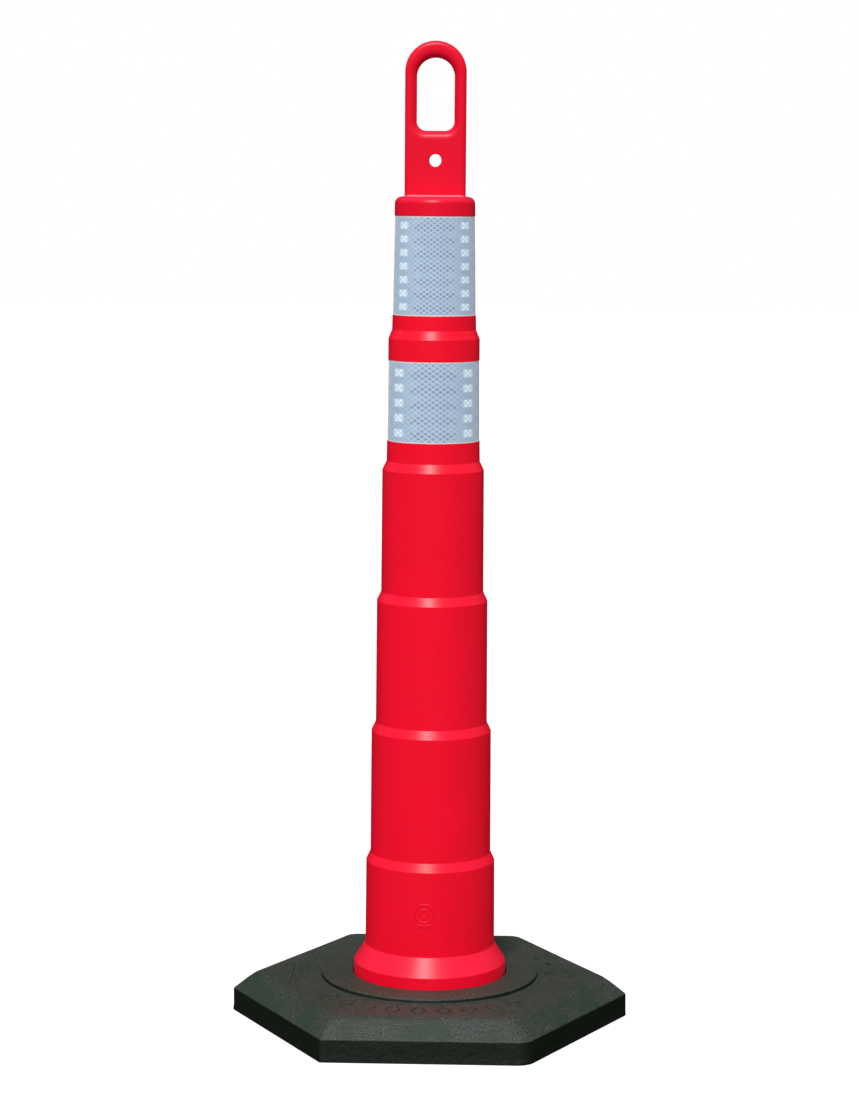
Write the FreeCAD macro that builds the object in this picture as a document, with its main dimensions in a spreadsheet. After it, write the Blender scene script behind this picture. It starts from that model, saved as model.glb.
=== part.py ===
import FreeCAD, Part
import math
import os
import Sketcher

# Delineator post: a hollow stepped plastic post with a carrying loop, two reflective
# bands let into its two top sections, and a loose hexagonal rubber base that drops
# over the post and rests on the flange at its foot.
# Millimetres. The origin is on the ground at the centre of the base, +Z is up, and the
# flat faces of the carrying loop look along +Y and -Y.

SHEET = "Sizes"

# Driving dimensions: cell name, value in millimetres, meaning.
DIMENSIONS = (
    ("flange_radius", 100.0, "flange that holds the base on the post"),
    ("flange_thickness", 5.0, "flange, measured up from the ground"),
    ("foot_radius", 83.9, "straight collar that fills the base's hole"),
    ("foot_top", 62.0, "top of the straight collar, where the flare starts"),
    ("flare_top", 82.0, "top of the flare"),
    ("section_radius", 71.3, "lower end of the first of the six sections"),
    ("step_in", 5.2, "how much narrower each section starts than the one below"),
    ("section_draft", 0.6, "taper of each plain section, on the radius"),
    ("lower_band_draft", 1.3, "taper of the section with the lower band, on the radius"),
    ("upper_band_draft", 2.3, "taper of the top section, on the radius"),
    ("first_ledge", 175.6, "lower edge of the first bevelled ledge"),
    ("ledge_spacing", 145.2, "first ledge to the second"),
    ("spacing_loss", 1.05, "how much shorter each spacing is than the one below"),
    ("ledge_height", 9.6, "height of each bevelled ledge"),
    ("cap_top", 902.0, "flat top of the cap"),
    ("cap_rounding", 7.5, "rounded shoulder of the cap"),
    ("wall", 3.2, "wall of the hollow post"),
    ("band_recess", 0.9, "depth of the recess under each band"),
    ("upper_band_low", 775.4, "lower edge of the upper band"),
    ("upper_band_high", 881.5, "upper edge of the upper band, where the cap starts"),
    ("lower_band_low", 639.7, "lower edge of the lower band"),
    ("lower_band_high", 727.1, "upper edge of the lower band"),
    ("band_thickness", 0.4, "reflective sheeting"),
    ("band_gap", 0.05, "between the sheeting and the recess round it"),
    ("handle_top", 1067.0, "top of the carrying loop: the total height"),
    ("handle_width", 65.5, "width of the web and of the loop"),
    ("handle_thickness", 20.0, "web and loop, front to back"),
    ("handle_wall", 4.0, "wall of the hollow handle"),
    ("handle_edge", 5.5, "rounding of the handle's outer edges"),
    ("handle_root", 2.0, "rounding where the web meets the cap"),
    ("loop_width", 40.2, "width of the hand hole"),
    ("loop_low", 972.0, "bottom of the hand hole"),
    ("loop_high", 1049.0, "top of the hand hole"),
    ("loop_corner", 8.5, "lower corners of the hand hole"),
    ("loop_edge", 7.0, "rounding of the hand hole's edges"),
    ("lamp_hole_height", 940.6, "centre of the hole for a warning lamp's bolt"),
    ("lamp_hole_radius", 6.75, "hole for a warning lamp's bolt"),
    ("base_width", 380.0, "base across its flats"),
    ("base_side", 25.0, "height of the base's upright sides"),
    ("base_top", 45.0, "height of the base's flat top"),
    ("base_bevel", 22.0, "width of the bevel, from the side to the flat top"),
    ("base_edge", 3.0, "rounding of the base's corners and bevel edges"),
    ("disc_radius", 120.0, "raised disc round the hole"),
    ("disc_height", 5.0, "raised disc, above the flat top"),
    ("disc_edge", 1.5, "rounding of the raised disc"),
    ("hole_clearance", 1.1, "between the base's hole and the collar, on the radius"),
    ("seat_clearance", 2.0, "between the base's counterbore and the flange's rim"),
    ("seat_gap", 0.5, "between the base's counterbore and the flange's top"),
)

SECTIONS = 6
BANDS = {"lower": 4, "upper": 5}  # the section that each band lies in, from the ground
TOUCH = 0.01  # two lengths closer than this count as equal
POCKET = "PartDesign::Pocket"
GROOVE = "PartDesign::Groove"


class Size:
    """A length, both as a number and as a formula of the sheet's cells."""

    def __init__(self, value, formula):
        self.value = value
        self.formula = formula

    def __add__(self, other):
        other = as_size(other)
        return Size(self.value + other.value, f"({self.formula} + {other.formula})")

    def __sub__(self, other):
        other = as_size(other)
        return Size(self.value - other.value, f"({self.formula} - {other.formula})")

    def __mul__(self, other):
        other = as_size(other)
        return Size(self.value * other.value, f"({self.formula} * {other.formula})")

    def __truediv__(self, other):
        other = as_size(other)
        return Size(self.value / other.value, f"({self.formula} / {other.formula})")


def as_size(value):
    """A Size made from a Size or from a plain number."""
    if isinstance(value, Size):
        return value
    return Size(float(value), repr(float(value)))


def fill_sheet(doc):
    """Writes the driving dimensions to the sheet and returns them as Sizes, by name."""
    sheet = doc.addObject("Spreadsheet::Sheet", SHEET)
    size = {}
    for row, (name, value, meaning) in enumerate(DIMENSIONS, start=1):
        sheet.set(f"A{row}", meaning)
        sheet.set(f"B{row}", str(value))
        sheet.setAlias(f"B{row}", name)
        size[name] = Size(value, f"{SHEET}.{name}")
    doc.recompute()
    return size


# Bodies and sketches


def add_body(doc, label):
    """An empty body whose label names its file."""
    body = doc.addObject("PartDesign::Body", label)
    body.Label = label
    body.Placement = FreeCAD.Placement()
    return body


def add_sketch(body, name, plane, height=None):
    """A sketch on one of the body's origin planes, raised by a height where one is given."""
    sketch = body.newObject("Sketcher::SketchObject", name)
    support = next(f for f in body.Origin.OriginFeatures if f.Role == plane)
    sketch.AttachmentSupport = [(support, "")]
    sketch.MapMode = "FlatFace"
    if height is not None:
        sketch.setExpression("AttachmentOffset.Base.z", height.formula)
    return sketch


def tie(sketch, kind, *where):
    """A constraint with no value."""
    sketch.addConstraint(Sketcher.Constraint(kind, *where))


def tie_size(sketch, size, kind, *where):
    """A constraint whose value follows the sheet."""
    index = sketch.addConstraint(Sketcher.Constraint(kind, *where, size.value))
    sketch.setExpression(f"Constraints[{index}]", size.formula)


def add_line(sketch, start, end):
    """A straight line between two (x, y) points."""
    ends = FreeCAD.Vector(*start, 0), FreeCAD.Vector(*end, 0)
    return sketch.addGeometry(Part.LineSegment(*ends), False)


def new_circle(x, y, radius):
    """A circle in the sketch's plane, not yet added to it."""
    return Part.Circle(FreeCAD.Vector(x, y, 0), FreeCAD.Vector(0, 0, 1), radius)


def draw_outline(sketch, points):
    """A closed outline of straight lines. An x of None is a point on the upright axis."""
    flat = [(0.0 if x is None else x.value, y.value) for x, y in points]
    following = [(i + 1) % len(points) for i in range(len(points))]
    for i, after in enumerate(following):
        add_line(sketch, flat[i], flat[after])
    for i, after in enumerate(following):
        tie(sketch, "Coincident", i, 2, after, 1)
    for i, (x, y) in enumerate(points):
        if x is None:
            tie(sketch, "PointOnObject", i, 1, -2)
        else:
            tie_size(sketch, x, "DistanceX", -1, 1, i, 1)
        tie_size(sketch, y, "DistanceY", -1, 1, i, 1)


def draw_circle(sketch, radius, height=None):
    """A circle at the sketch's origin, or at a height on its upright axis."""
    centre = height.value if height else 0.0
    circle = sketch.addGeometry(new_circle(0.0, centre, radius.value), False)
    if height is None:
        tie(sketch, "Coincident", circle, 3, -1, 1)
    else:
        tie(sketch, "PointOnObject", circle, 3, -2)
        tie_size(sketch, height, "DistanceY", -1, 1, circle, 3)
    tie_size(sketch, radius, "Radius", circle)


def draw_hexagon(sketch, radius):
    """A regular hexagon, radius to its corners, with two corners on the sketch's x axis."""
    turns = [math.radians(60 * i) for i in range(6)]
    corners = [(math.cos(t) * radius.value, math.sin(t) * radius.value) for t in turns]
    for i in range(6):
        add_line(sketch, corners[i], corners[(i + 1) % 6])
    circle = sketch.addGeometry(new_circle(0.0, 0.0, radius.value), True)
    tie(sketch, "Coincident", circle, 3, -1, 1)
    for i in range(6):
        tie(sketch, "Coincident", i, 2, (i + 1) % 6, 1)
        tie(sketch, "PointOnObject", i, 1, circle)
    for i in range(1, 6):
        tie(sketch, "Equal", 0, i)
    tie(sketch, "PointOnObject", 0, 1, -1)
    tie_size(sketch, radius, "Radius", circle)


def draw_arch(sketch, half_width, arc_height, bottom, corner=None):
    """An upright shape with a half-round top and a flat bottom, symmetric about the
    upright axis. Its lower corners are rounded where a corner radius is given."""
    half = half_width.value
    low = bottom.value
    high = arc_height.value
    cut = corner.value if corner else 0.0

    def arc(x, y, radius, start, end):
        curve = Part.ArcOfCircle(new_circle(x, y, radius), start, end)
        return sketch.addGeometry(curve, False)

    left = add_line(sketch, (-half, low + cut), (-half, high))
    top = arc(0.0, high, half, 0, math.pi)
    right = add_line(sketch, (half, high), (half, low + cut))
    base = add_line(sketch, (half - cut, low), (cut - half, low))
    tie(sketch, "Tangent", left, 2, top, 2)
    tie(sketch, "Tangent", top, 1, right, 1)
    if corner:
        corner_right = arc(half - cut, low + cut, cut, -math.pi / 2, 0)
        corner_left = arc(cut - half, low + cut, cut, math.pi, 1.5 * math.pi)
        tie(sketch, "Tangent", right, 2, corner_right, 2)
        tie(sketch, "Tangent", corner_right, 1, base, 1)
        tie(sketch, "Tangent", base, 2, corner_left, 2)
        tie(sketch, "Tangent", corner_left, 1, left, 1)
        tie(sketch, "Equal", corner_right, corner_left)
        tie_size(sketch, corner, "Radius", corner_right)
    else:
        tie(sketch, "Coincident", right, 2, base, 1)
        tie(sketch, "Coincident", base, 2, left, 1)
    tie(sketch, "Vertical", left)
    tie(sketch, "Vertical", right)
    tie(sketch, "Horizontal", base)
    tie(sketch, "PointOnObject", top, 3, -2)
    tie_size(sketch, half_width, "Radius", top)
    tie_size(sketch, arc_height, "DistanceY", -1, 1, top, 3)
    tie_size(sketch, bottom, "DistanceY", -1, 1, base, 1)


# Features


def finish_feature(body, feature):
    """Recomputes the body, and stops if a cut removed nothing or a pad added nothing."""
    before = feature.BaseFeature.Shape.Volume if feature.BaseFeature else 0.0
    body.Document.recompute()
    change = feature.Shape.Volume - before
    is_cut = feature.TypeId in (POCKET, GROOVE)
    if feature.TypeId != "PartDesign::Fillet" and (change > 0) == is_cut:
        raise RuntimeError(f"{body.Label}: {feature.Name} changed the volume by {change:.1f}")
    body.Tip = feature
    return feature


def revolve(body, name, sketch, kind="PartDesign::Revolution"):
    """A full turn of the sketch about its upright axis, added or cut away."""
    feature = body.newObject(kind, name)
    feature.Profile = sketch
    feature.ReferenceAxis = (sketch, ["V_Axis"])
    feature.Angle = 360.0
    return finish_feature(body, feature)


def pad(body, name, sketch, length, symmetric=False, taper=None):
    """A straight pad of the sketch, narrowing by the taper formula where one is given."""
    feature = body.newObject("PartDesign::Pad", name)
    feature.Profile = sketch
    feature.SideType = "Symmetric" if symmetric else "One side"
    feature.setExpression("Length", length.formula)
    if taper:
        feature.setExpression("TaperAngle", taper)
    return finish_feature(body, feature)


def pocket(body, name, sketch, length, symmetric=True):
    """A cut of the sketch to both sides of its plane, or upwards to one side of it."""
    feature = body.newObject(POCKET, name)
    feature.Profile = sketch
    feature.SideType = "Symmetric" if symmetric else "One side"
    feature.Reversed = not symmetric
    feature.setExpression("Length", length.formula)
    return finish_feature(body, feature)


def round_edges(body, name, base, radius, keep):
    """Rounds the edges of the base feature for which keep(edge) is true."""
    edges = [f"Edge{i}" for i, e in enumerate(base.Shape.Edges, start=1) if keep(e)]
    if not edges:
        raise RuntimeError(f"{body.Label}: {name} found no edge to round")
    feature = body.newObject("PartDesign::Fillet", name)
    feature.Base = (base, edges)
    feature.setExpression("Radius", radius.formula)
    return finish_feature(body, feature)


def is_level(edge, height):
    """True for an edge that lies in the level plane at this height."""
    box = edge.BoundBox
    return abs(box.ZMin - height) < TOUCH and box.ZLength < TOUCH


def is_in_face(edge, thickness):
    """True for an edge in the front or back face of an upright plate of this thickness."""
    points = [vertex.Point for vertex in edge.Vertexes] + [edge.CenterOfMass]
    return all(abs(abs(point.y) - thickness / 2) < TOUCH for point in points)


def reach(edge):
    """How far the edge gets from the middle, to the left or to the right."""
    return max(abs(edge.BoundBox.XMin), abs(edge.BoundBox.XMax))


# The post


def ledge_bottom(size, ledge):
    """Height of the lower edge of a bevelled ledge. The spacings shrink up the post."""
    rise = size["ledge_spacing"] * ledge
    loss = size["spacing_loss"] * (ledge * (ledge - 1) / 2)
    return size["first_ledge"] + rise - loss


def section_ends(size, section):
    """(radius, height) of the lower and of the upper end of one section's wall."""
    drafts = {BANDS["lower"]: "lower_band_draft", BANDS["upper"]: "upper_band_draft"}
    draft = size[drafts.get(section, "section_draft")]
    low_radius = size["section_radius"] - size["step_in"] * section
    low_height = size["flare_top"]
    if section > 0:
        low_height = ledge_bottom(size, section - 1) + size["ledge_height"]
    high_height = size["cap_top"]
    if section < SECTIONS - 1:
        high_height = ledge_bottom(size, section)
    return (low_radius, low_height), (low_radius - draft, high_height)


def wall_radius(size, section, height):
    """Radius of a section's tapered wall at a height."""
    (low_radius, low_height), (high_radius, high_height) = section_ends(size, section)
    share = (height - low_height) / (high_height - low_height)
    return low_radius - (low_radius - high_radius) * share


def recess_points(size, band):
    """The four corners of a band's recess, from the lowest to the highest."""
    low = size[f"{band}_band_low"]
    high = size[f"{band}_band_high"]
    low_radius = wall_radius(size, BANDS[band], low)
    high_radius = wall_radius(size, BANDS[band], high)
    depth = size["band_recess"]
    return [
        (low_radius, low),
        (low_radius - depth, low),
        (high_radius - depth, high),
        (high_radius, high),
    ]


def outer_points(size):
    """Half section of the post's outside, from the ground up, with both recesses."""
    ground = as_size(0)
    points = [
        (None, ground),
        (size["flange_radius"], ground),
        (size["flange_radius"], size["flange_thickness"]),
        (size["foot_radius"], size["flange_thickness"]),
        (size["foot_radius"], size["foot_top"]),
    ]
    for section in range(SECTIONS):
        low, high = section_ends(size, section)
        points.append(low)
        for band, where in BANDS.items():
            if where == section:
                points.extend(recess_points(size, band))
        points.append(high)
    points.append((None, size["cap_top"]))
    return points


def inner_points(size):
    """Half section of the hollow: open at the ground, and one wall inside the outside.
    Its corner under the cap is cut off, because the cap's shoulder is rounded."""
    wall = size["wall"]
    lower = wall / 2
    points = [
        (None, as_size(0)),
        (size["foot_radius"] - wall, as_size(0)),
        (size["foot_radius"] - wall, size["foot_top"] - lower),
    ]
    for section in range(SECTIONS - 1):
        for radius, height in section_ends(size, section):
            points.append((radius - wall, height - lower))
    (low_radius, low_height), (high_radius, high_height) = section_ends(size, SECTIONS - 1)
    rounding = size["cap_rounding"]
    points.append((low_radius - wall, low_height - lower))
    points.append((high_radius - wall, high_height - rounding))
    points.append((high_radius - rounding, high_height - wall))
    points.append((None, high_height - wall))
    return points


def make_post(doc, size):
    """The post: a revolved shell, and on its cap a flat hollow handle with a hand hole
    and a hole for a lamp's bolt. The handle's hollow is open to the hollow below it."""
    body = add_body(doc, "post_body")
    cap_top = size["cap_top"]
    thickness = size["handle_thickness"]
    half_width = size["handle_width"] / 2
    arc_height = size["handle_top"] - half_width
    hole_half_width = size["loop_width"] / 2
    hole_arc_height = size["loop_high"] - hole_half_width

    outside = add_sketch(body, "outside", "XZ_Plane")
    draw_outline(outside, outer_points(size))
    shell = revolve(body, "shell", outside)

    def is_cap_edge(edge):
        return is_level(edge, cap_top.value)

    round_edges(body, "cap_shoulder", shell, size["cap_rounding"], is_cap_edge)

    handle = add_sketch(body, "handle_outline", "XZ_Plane")
    draw_arch(handle, half_width, arc_height, cap_top - size["wall"])
    pad(body, "handle", handle, thickness, symmetric=True)
    hand_hole = add_sketch(body, "hand_hole_outline", "XZ_Plane")
    draw_arch(
        hand_hole, hole_half_width, hole_arc_height, size["loop_low"], size["loop_corner"]
    )
    plate = pocket(body, "hand_hole", hand_hole, thickness * 2)

    def is_hole_edge(edge):
        near = reach(edge) < hole_half_width.value + TOUCH
        return near and is_in_face(edge, thickness.value)

    def is_handle_edge(edge):
        far = reach(edge) > half_width.value - TOUCH
        upright = edge.BoundBox.ZLength > TOUCH
        return far and upright and is_in_face(edge, thickness.value)

    def is_root_edge(edge):
        return is_level(edge, cap_top.value) and reach(edge) < half_width.value + TOUCH

    plate = round_edges(body, "hand_hole_edges", plate, size["loop_edge"], is_hole_edge)
    plate = round_edges(body, "handle_edges", plate, size["handle_edge"], is_handle_edge)
    round_edges(body, "handle_root_edges", plate, size["handle_root"], is_root_edge)

    inside = add_sketch(body, "inside", "XZ_Plane")
    draw_outline(inside, inner_points(size))
    revolve(body, "hollow", inside, GROOVE)

    wall = size["handle_wall"]
    handle_inside = add_sketch(body, "handle_inside", "XZ_Plane")
    draw_arch(handle_inside, half_width - wall, arc_height, cap_top - size["cap_rounding"])
    draw_arch(
        handle_inside,
        hole_half_width + wall,
        hole_arc_height,
        size["loop_low"] - wall,
        size["loop_corner"] + wall,
    )
    draw_circle(handle_inside, size["lamp_hole_radius"] + wall, size["lamp_hole_height"])
    pocket(body, "handle_hollow", handle_inside, thickness - wall * 2)

    lamp_hole = add_sketch(body, "lamp_hole_outline", "XZ_Plane")
    draw_circle(lamp_hole, size["lamp_hole_radius"], size["lamp_hole_height"])
    pocket(body, "lamp_hole", lamp_hole, thickness * 2)
    return body


# The bands


def make_band(doc, size, band):
    """A sleeve of reflective sheeting that lies in its recess in the post."""
    body = add_body(doc, f"{band}_reflective_band")
    gap = size["band_gap"]
    thickness = size["band_thickness"]
    low = size[f"{band}_band_low"] + gap
    high = size[f"{band}_band_high"] - gap
    floor = size["band_recess"] - gap
    low_radius = wall_radius(size, BANDS[band], low) - floor
    high_radius = wall_radius(size, BANDS[band], high) - floor
    outline = add_sketch(body, f"{band}_sleeve_outline", "XZ_Plane")
    draw_outline(
        outline,
        [
            (low_radius, low),
            (low_radius + thickness, low),
            (high_radius + thickness, high),
            (high_radius, high),
        ],
    )
    revolve(body, f"{band}_sleeve", outline)
    return body


# The base


def make_base(doc, size):
    """The rubber base: a bevelled hexagon with a raised disc, a hole for the post's
    collar, and a counterbore below for its flange."""
    body = add_body(doc, "rubber_base")
    corner_radius = size["base_width"] / math.sqrt(3)
    side = size["base_side"]
    top = size["base_top"]
    disc_top = top + size["disc_height"]

    side_outline = add_sketch(body, "side_outline", "XY_Plane")
    draw_hexagon(side_outline, corner_radius)
    pad(body, "sides", side_outline, side)
    bevel_outline = add_sketch(body, "bevel_outline", "XY_Plane", side)
    draw_hexagon(bevel_outline, corner_radius)
    rise = top - side
    lean = f"-atan({size['base_bevel'].formula} / {rise.formula})"
    block = pad(body, "bevel", bevel_outline, rise, taper=lean)

    def is_above_ground(edge):
        return edge.BoundBox.ZMax > TOUCH

    round_edges(body, "base_edges", block, size["base_edge"], is_above_ground)

    disc_outline = add_sketch(body, "disc_outline", "XY_Plane", top)
    draw_circle(disc_outline, size["disc_radius"])
    disc = pad(body, "disc", disc_outline, size["disc_height"])

    def is_disc_edge(edge):
        return is_level(edge, disc_top.value)

    round_edges(body, "disc_edges", disc, size["disc_edge"], is_disc_edge)

    hole_outline = add_sketch(body, "hole_outline", "XY_Plane")
    draw_circle(hole_outline, size["foot_radius"] + size["hole_clearance"])
    pocket(body, "hole", hole_outline, disc_top, symmetric=False)
    seat_outline = add_sketch(body, "seat_outline", "XY_Plane")
    draw_circle(seat_outline, size["flange_radius"] + size["seat_clearance"])
    seat_depth = size["flange_thickness"] + size["seat_gap"]
    pocket(body, "flange_seat", seat_outline, seat_depth, symmetric=False)
    return body


# Checks and files


def check_document(doc):
    """Stops if any object of the document failed to compute."""
    failed = [o.Name for o in doc.Objects if {"Invalid", "Error"} & set(o.State)]
    if failed:
        raise RuntimeError(f"these objects failed: {failed}")


def check_piece(body):
    """Stops if a piece isn't one valid closed solid."""
    shape = body.Shape
    if shape.isNull() or not shape.isValid() or len(shape.Solids) != 1:
        raise RuntimeError(f"{body.Label} isn't one valid solid")


def main():
    doc = FreeCAD.newDocument("delineator_post")
    size = fill_sheet(doc)
    pieces = [
        make_post(doc, size),
        make_band(doc, size, "upper"),
        make_band(doc, size, "lower"),
        make_base(doc, size),
    ]
    doc.recompute()
    check_document(doc)
    for body in pieces:
        check_piece(body)
    os.makedirs("parts", exist_ok=True)
    for body in pieces:
        body.Shape.exportStep(f"parts/{body.Label}.step")
        print(f"{body.Label}: {body.Shape.Volume / 1000:.1f} cubic centimetres")


main()
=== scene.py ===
import math

import bmesh
import bpy
import numpy as np
from mathutils import Matrix, Vector, noise


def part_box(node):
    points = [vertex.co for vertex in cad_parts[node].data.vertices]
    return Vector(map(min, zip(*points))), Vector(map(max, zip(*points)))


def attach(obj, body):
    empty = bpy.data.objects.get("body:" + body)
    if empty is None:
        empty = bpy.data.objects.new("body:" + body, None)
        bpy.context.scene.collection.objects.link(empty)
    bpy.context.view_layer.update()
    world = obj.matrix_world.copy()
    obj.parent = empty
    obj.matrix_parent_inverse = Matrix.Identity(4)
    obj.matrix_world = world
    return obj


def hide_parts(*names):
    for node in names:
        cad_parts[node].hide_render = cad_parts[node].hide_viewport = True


# A delineator post: stepped red plastic post, two reflective bands, hexagonal rubber base.
# Shapes are worked out in millimetres, and turned into metres when a mesh is made.

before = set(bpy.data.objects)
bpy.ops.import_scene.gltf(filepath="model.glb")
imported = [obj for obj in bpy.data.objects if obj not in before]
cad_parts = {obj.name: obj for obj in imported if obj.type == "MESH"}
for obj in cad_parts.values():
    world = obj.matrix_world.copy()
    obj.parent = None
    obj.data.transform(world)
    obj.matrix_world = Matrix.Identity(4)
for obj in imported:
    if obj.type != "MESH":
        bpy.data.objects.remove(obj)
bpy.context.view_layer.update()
MM = 0.001


def cad_size(node):
    """Lowest and highest corner of a CAD node, in millimetres."""
    return [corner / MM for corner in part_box(node)]


post_high = cad_size("post_body")[1]
base_high = cad_size("rubber_base")[1]
band_box = {name: cad_size(f"{name}_reflective_band") for name in ("lower", "upper")}

# The post, as the CAD model has it
FLANGE_RADIUS, FLANGE_TOP = post_high.x, 5.0
FOOT_RADIUS, FOOT_TOP, FLARE_TOP = 83.9, 62.0, 82.0
SECTIONS = 6
SECTION_RADIUS, STEP_IN, DRAFT = 71.3, 5.2, 0.6
BAND_SECTION = {"lower": 4, "upper": 5}
BAND_DRAFT = {"lower": 1.3, "upper": 2.3}
FIRST_LEDGE, LEDGE_SPACING, SPACING_LOSS, LEDGE_HEIGHT = 175.6, 145.2, 1.05, 9.6
CAP_TOP, CAP_ROUNDING, WALL = 902.0, 7.5, 3.2
RECESS, BAND_GAP, BAND_THICKNESS = 0.9, 0.05, 0.4
HANDLE_TOP, HANDLE_HALF, HANDLE_DEPTH = post_high.z, 32.75, 10.0
HOLE_HALF, HOLE_LOW, HOLE_HIGH, HOLE_CORNER = 20.1, 972.0, 1049.0, 10.0
LAMP_HOLE_HEIGHT, LAMP_HOLE_RADIUS = 940.6, 6.75
HANDLE_EDGE, HOLE_EDGE, LAMP_HOLE_EDGE = 6.0, 9.8, 0.6
ROOT_FILLET, CREST_BLEND = 1.4, 2.0  # at the handle's foot, and where its two edges meet
PARTING_LINE, PARTING_HALF = 0.15, 1.1  # height and half width of the mould's line
SEAM_HEIGHT = band_box["upper"][1].z + 2.5  # where the turned tube meets the cap

# The base
BASE_HALF = base_high.y
BASE_SIDE, BASE_FLAT, BASE_BEVEL = 25.0, 45.0, 22.0
BEVEL_EDGE, DISC_EDGE = 14.0, 2.8
DISC_RADIUS, DISC_TOP, DISC_BORDER = 120.0, base_high.z, 4.0
HOLE_RADIUS, SEAT_RADIUS, SEAT_TOP = FOOT_RADIUS + 1.1, FLANGE_RADIUS + 2.0, 5.5

FRONT = -90.0  # the side of the post that faces the camera, in degrees from +X
MARK_TURN, MARK_HEIGHT = FRONT - 3.3, 131.0  # the ring mark near the post's foot
RING_RADII, BAR_SPACING, BARS_BELOW = (10.0, 4.2), 3.6, 14.0


# Shared mesh work


def smooth_step(x, low, high):
    """0 below low, 1 above high, and an S curve between."""
    t = np.clip((x - low) / (high - low), 0.0, 1.0)
    return t * t * (3.0 - 2.0 * t)


def rounded_path(corners, steps=6, hold=0.3):
    """Points of an open outline whose corners are (x, y, rounding). A point just before
    and just after each arc keeps the shading of the straight runs flat. Roundings of
    half a millimetre and less have half as many steps."""
    at = [np.array(corner[:2], float) for corner in corners]
    points = [at[0]]
    for before, here, after, corner in zip(at, at[1:], at[2:], corners[1:]):
        arrive, leave = here - before, after - here
        run = min(np.linalg.norm(arrive), np.linalg.norm(leave))
        arrive, leave = arrive / np.linalg.norm(arrive), leave / np.linalg.norm(leave)
        turn = math.acos(np.clip(arrive @ leave, -1.0, 1.0))
        cut = min(corner[2] * math.tan(turn / 2), run * 0.42)
        if cut < 1e-6:
            points.append(here)
            continue
        radius = cut / math.tan(turn / 2)
        side = 1.0 if arrive[0] * leave[1] - arrive[1] * leave[0] > 0 else -1.0
        inward = np.array([-arrive[1], arrive[0]]) * side * radius
        start = here - arrive * cut
        points.append(start - arrive * min(hold, run * 0.05))
        parts = steps if corner[2] > 0.5 else max(steps // 2, 2)
        for i in range(parts + 1):
            angle = turn * i / parts
            along = arrive * math.sin(angle) * radius
            points.append(start + along + inward * (1.0 - math.cos(angle)))
        points.append(here + leave * (cut + min(hold, run * 0.05)))
    points.append(at[-1])
    return np.array(points)


def ring_faces(rows, columns, first=0, close_rows=False):
    """Quads over rows of points whose columns close in a ring, and whose rows may too."""
    last = rows if close_rows else rows - 1
    row, column = np.meshgrid(np.arange(last), np.arange(columns), indexing="ij")
    after, beside = (row + 1) % rows, (column + 1) % columns
    corners = [
        row * columns + column,
        row * columns + beside,
        after * columns + beside,
        after * columns + column,
    ]
    return np.stack(corners, -1).reshape(-1, 4) + first


def add_piece(name, points, faces, body, node, material):
    """A smooth mesh that stands for a CAD node, which it hides, and rides on its body."""
    mesh = bpy.data.meshes.new(name)
    mesh.from_pydata((np.asarray(points) * MM).tolist(), [], [list(f) for f in faces])
    mesh.validate()
    mesh.shade_smooth()
    mesh.materials.append(material)
    piece = bpy.data.objects.new(name, mesh)
    bpy.context.scene.collection.objects.link(piece)
    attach(piece, body)
    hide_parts(node)
    return piece


# The post's outline


def ledge_bottom(ledge):
    return FIRST_LEDGE + LEDGE_SPACING * ledge - SPACING_LOSS * ledge * (ledge - 1) / 2


def section_ends(section):
    """(radius, height) of the lower and of the upper end of one section's wall."""
    drafts = {BAND_SECTION[band]: BAND_DRAFT[band] for band in BAND_SECTION}
    low_radius = SECTION_RADIUS - STEP_IN * section
    high_radius = low_radius - drafts.get(section, DRAFT)
    low = ledge_bottom(section - 1) + LEDGE_HEIGHT if section else FLARE_TOP
    high = ledge_bottom(section) if section < SECTIONS - 1 else CAP_TOP
    return (low_radius, low), (high_radius, high)


def wall_radius(section, height):
    (low_radius, low), (high_radius, high) = section_ends(section)
    return low_radius + (high_radius - low_radius) * (height - low) / (high - low)


def recess_corners(band):
    """The recess under a band, from its lower edge to its upper edge."""
    low, high = band_box[band][0].z, band_box[band][1].z
    low_radius = wall_radius(BAND_SECTION[band], low)
    high_radius = wall_radius(BAND_SECTION[band], high)
    return [
        (low_radius, low, 0.35),
        (low_radius - RECESS, low, 0.2),
        (high_radius - RECESS, high, 0.2),
        (high_radius, high, 0.35),
    ]


def outside_corners():
    """The post's outside, from the ground up to a little above the upper recess."""
    corners = [
        (FOOT_RADIUS - WALL, 0.0, 0.0),
        (FLANGE_RADIUS, 0.0, 1.0),
        (FLANGE_RADIUS, FLANGE_TOP, 1.0),
        (FOOT_RADIUS, FLANGE_TOP, 1.0),
        (FOOT_RADIUS, FOOT_TOP, 1.8),
    ]
    for section in range(SECTIONS):
        (low_radius, low), (high_radius, high) = section_ends(section)
        corners.append((low_radius, low, 1.3 if section else 2.0))
        for band in BAND_SECTION:
            if section == BAND_SECTION[band]:
                corners += recess_corners(band)
        if section < SECTIONS - 1:
            corners.append((high_radius, high, 1.2))
    corners.append((wall_radius(SECTIONS - 1, SEAM_HEIGHT), SEAM_HEIGHT, 0.0))
    return corners


def inside_corners():
    """The hollow of the post, from the ground up to its closed top."""
    corners = [(FOOT_RADIUS - WALL, 0.0, 0.0), (FOOT_RADIUS - WALL, FOOT_TOP - 2.0, 3.0)]
    for section in range(SECTIONS - 1):
        for radius, height in section_ends(section):
            corners.append((radius - WALL, height - WALL / 2, 3.0))
    (low_radius, low), (high_radius, high) = section_ends(SECTIONS - 1)
    corners.append((low_radius - WALL, low - WALL / 2, 3.0))
    corners.append((high_radius - WALL, high - WALL, 6.0))
    corners.append((1.0, high - WALL, 0.0))
    return corners


# The cap and handle, as the zero surface of a distance field


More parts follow.
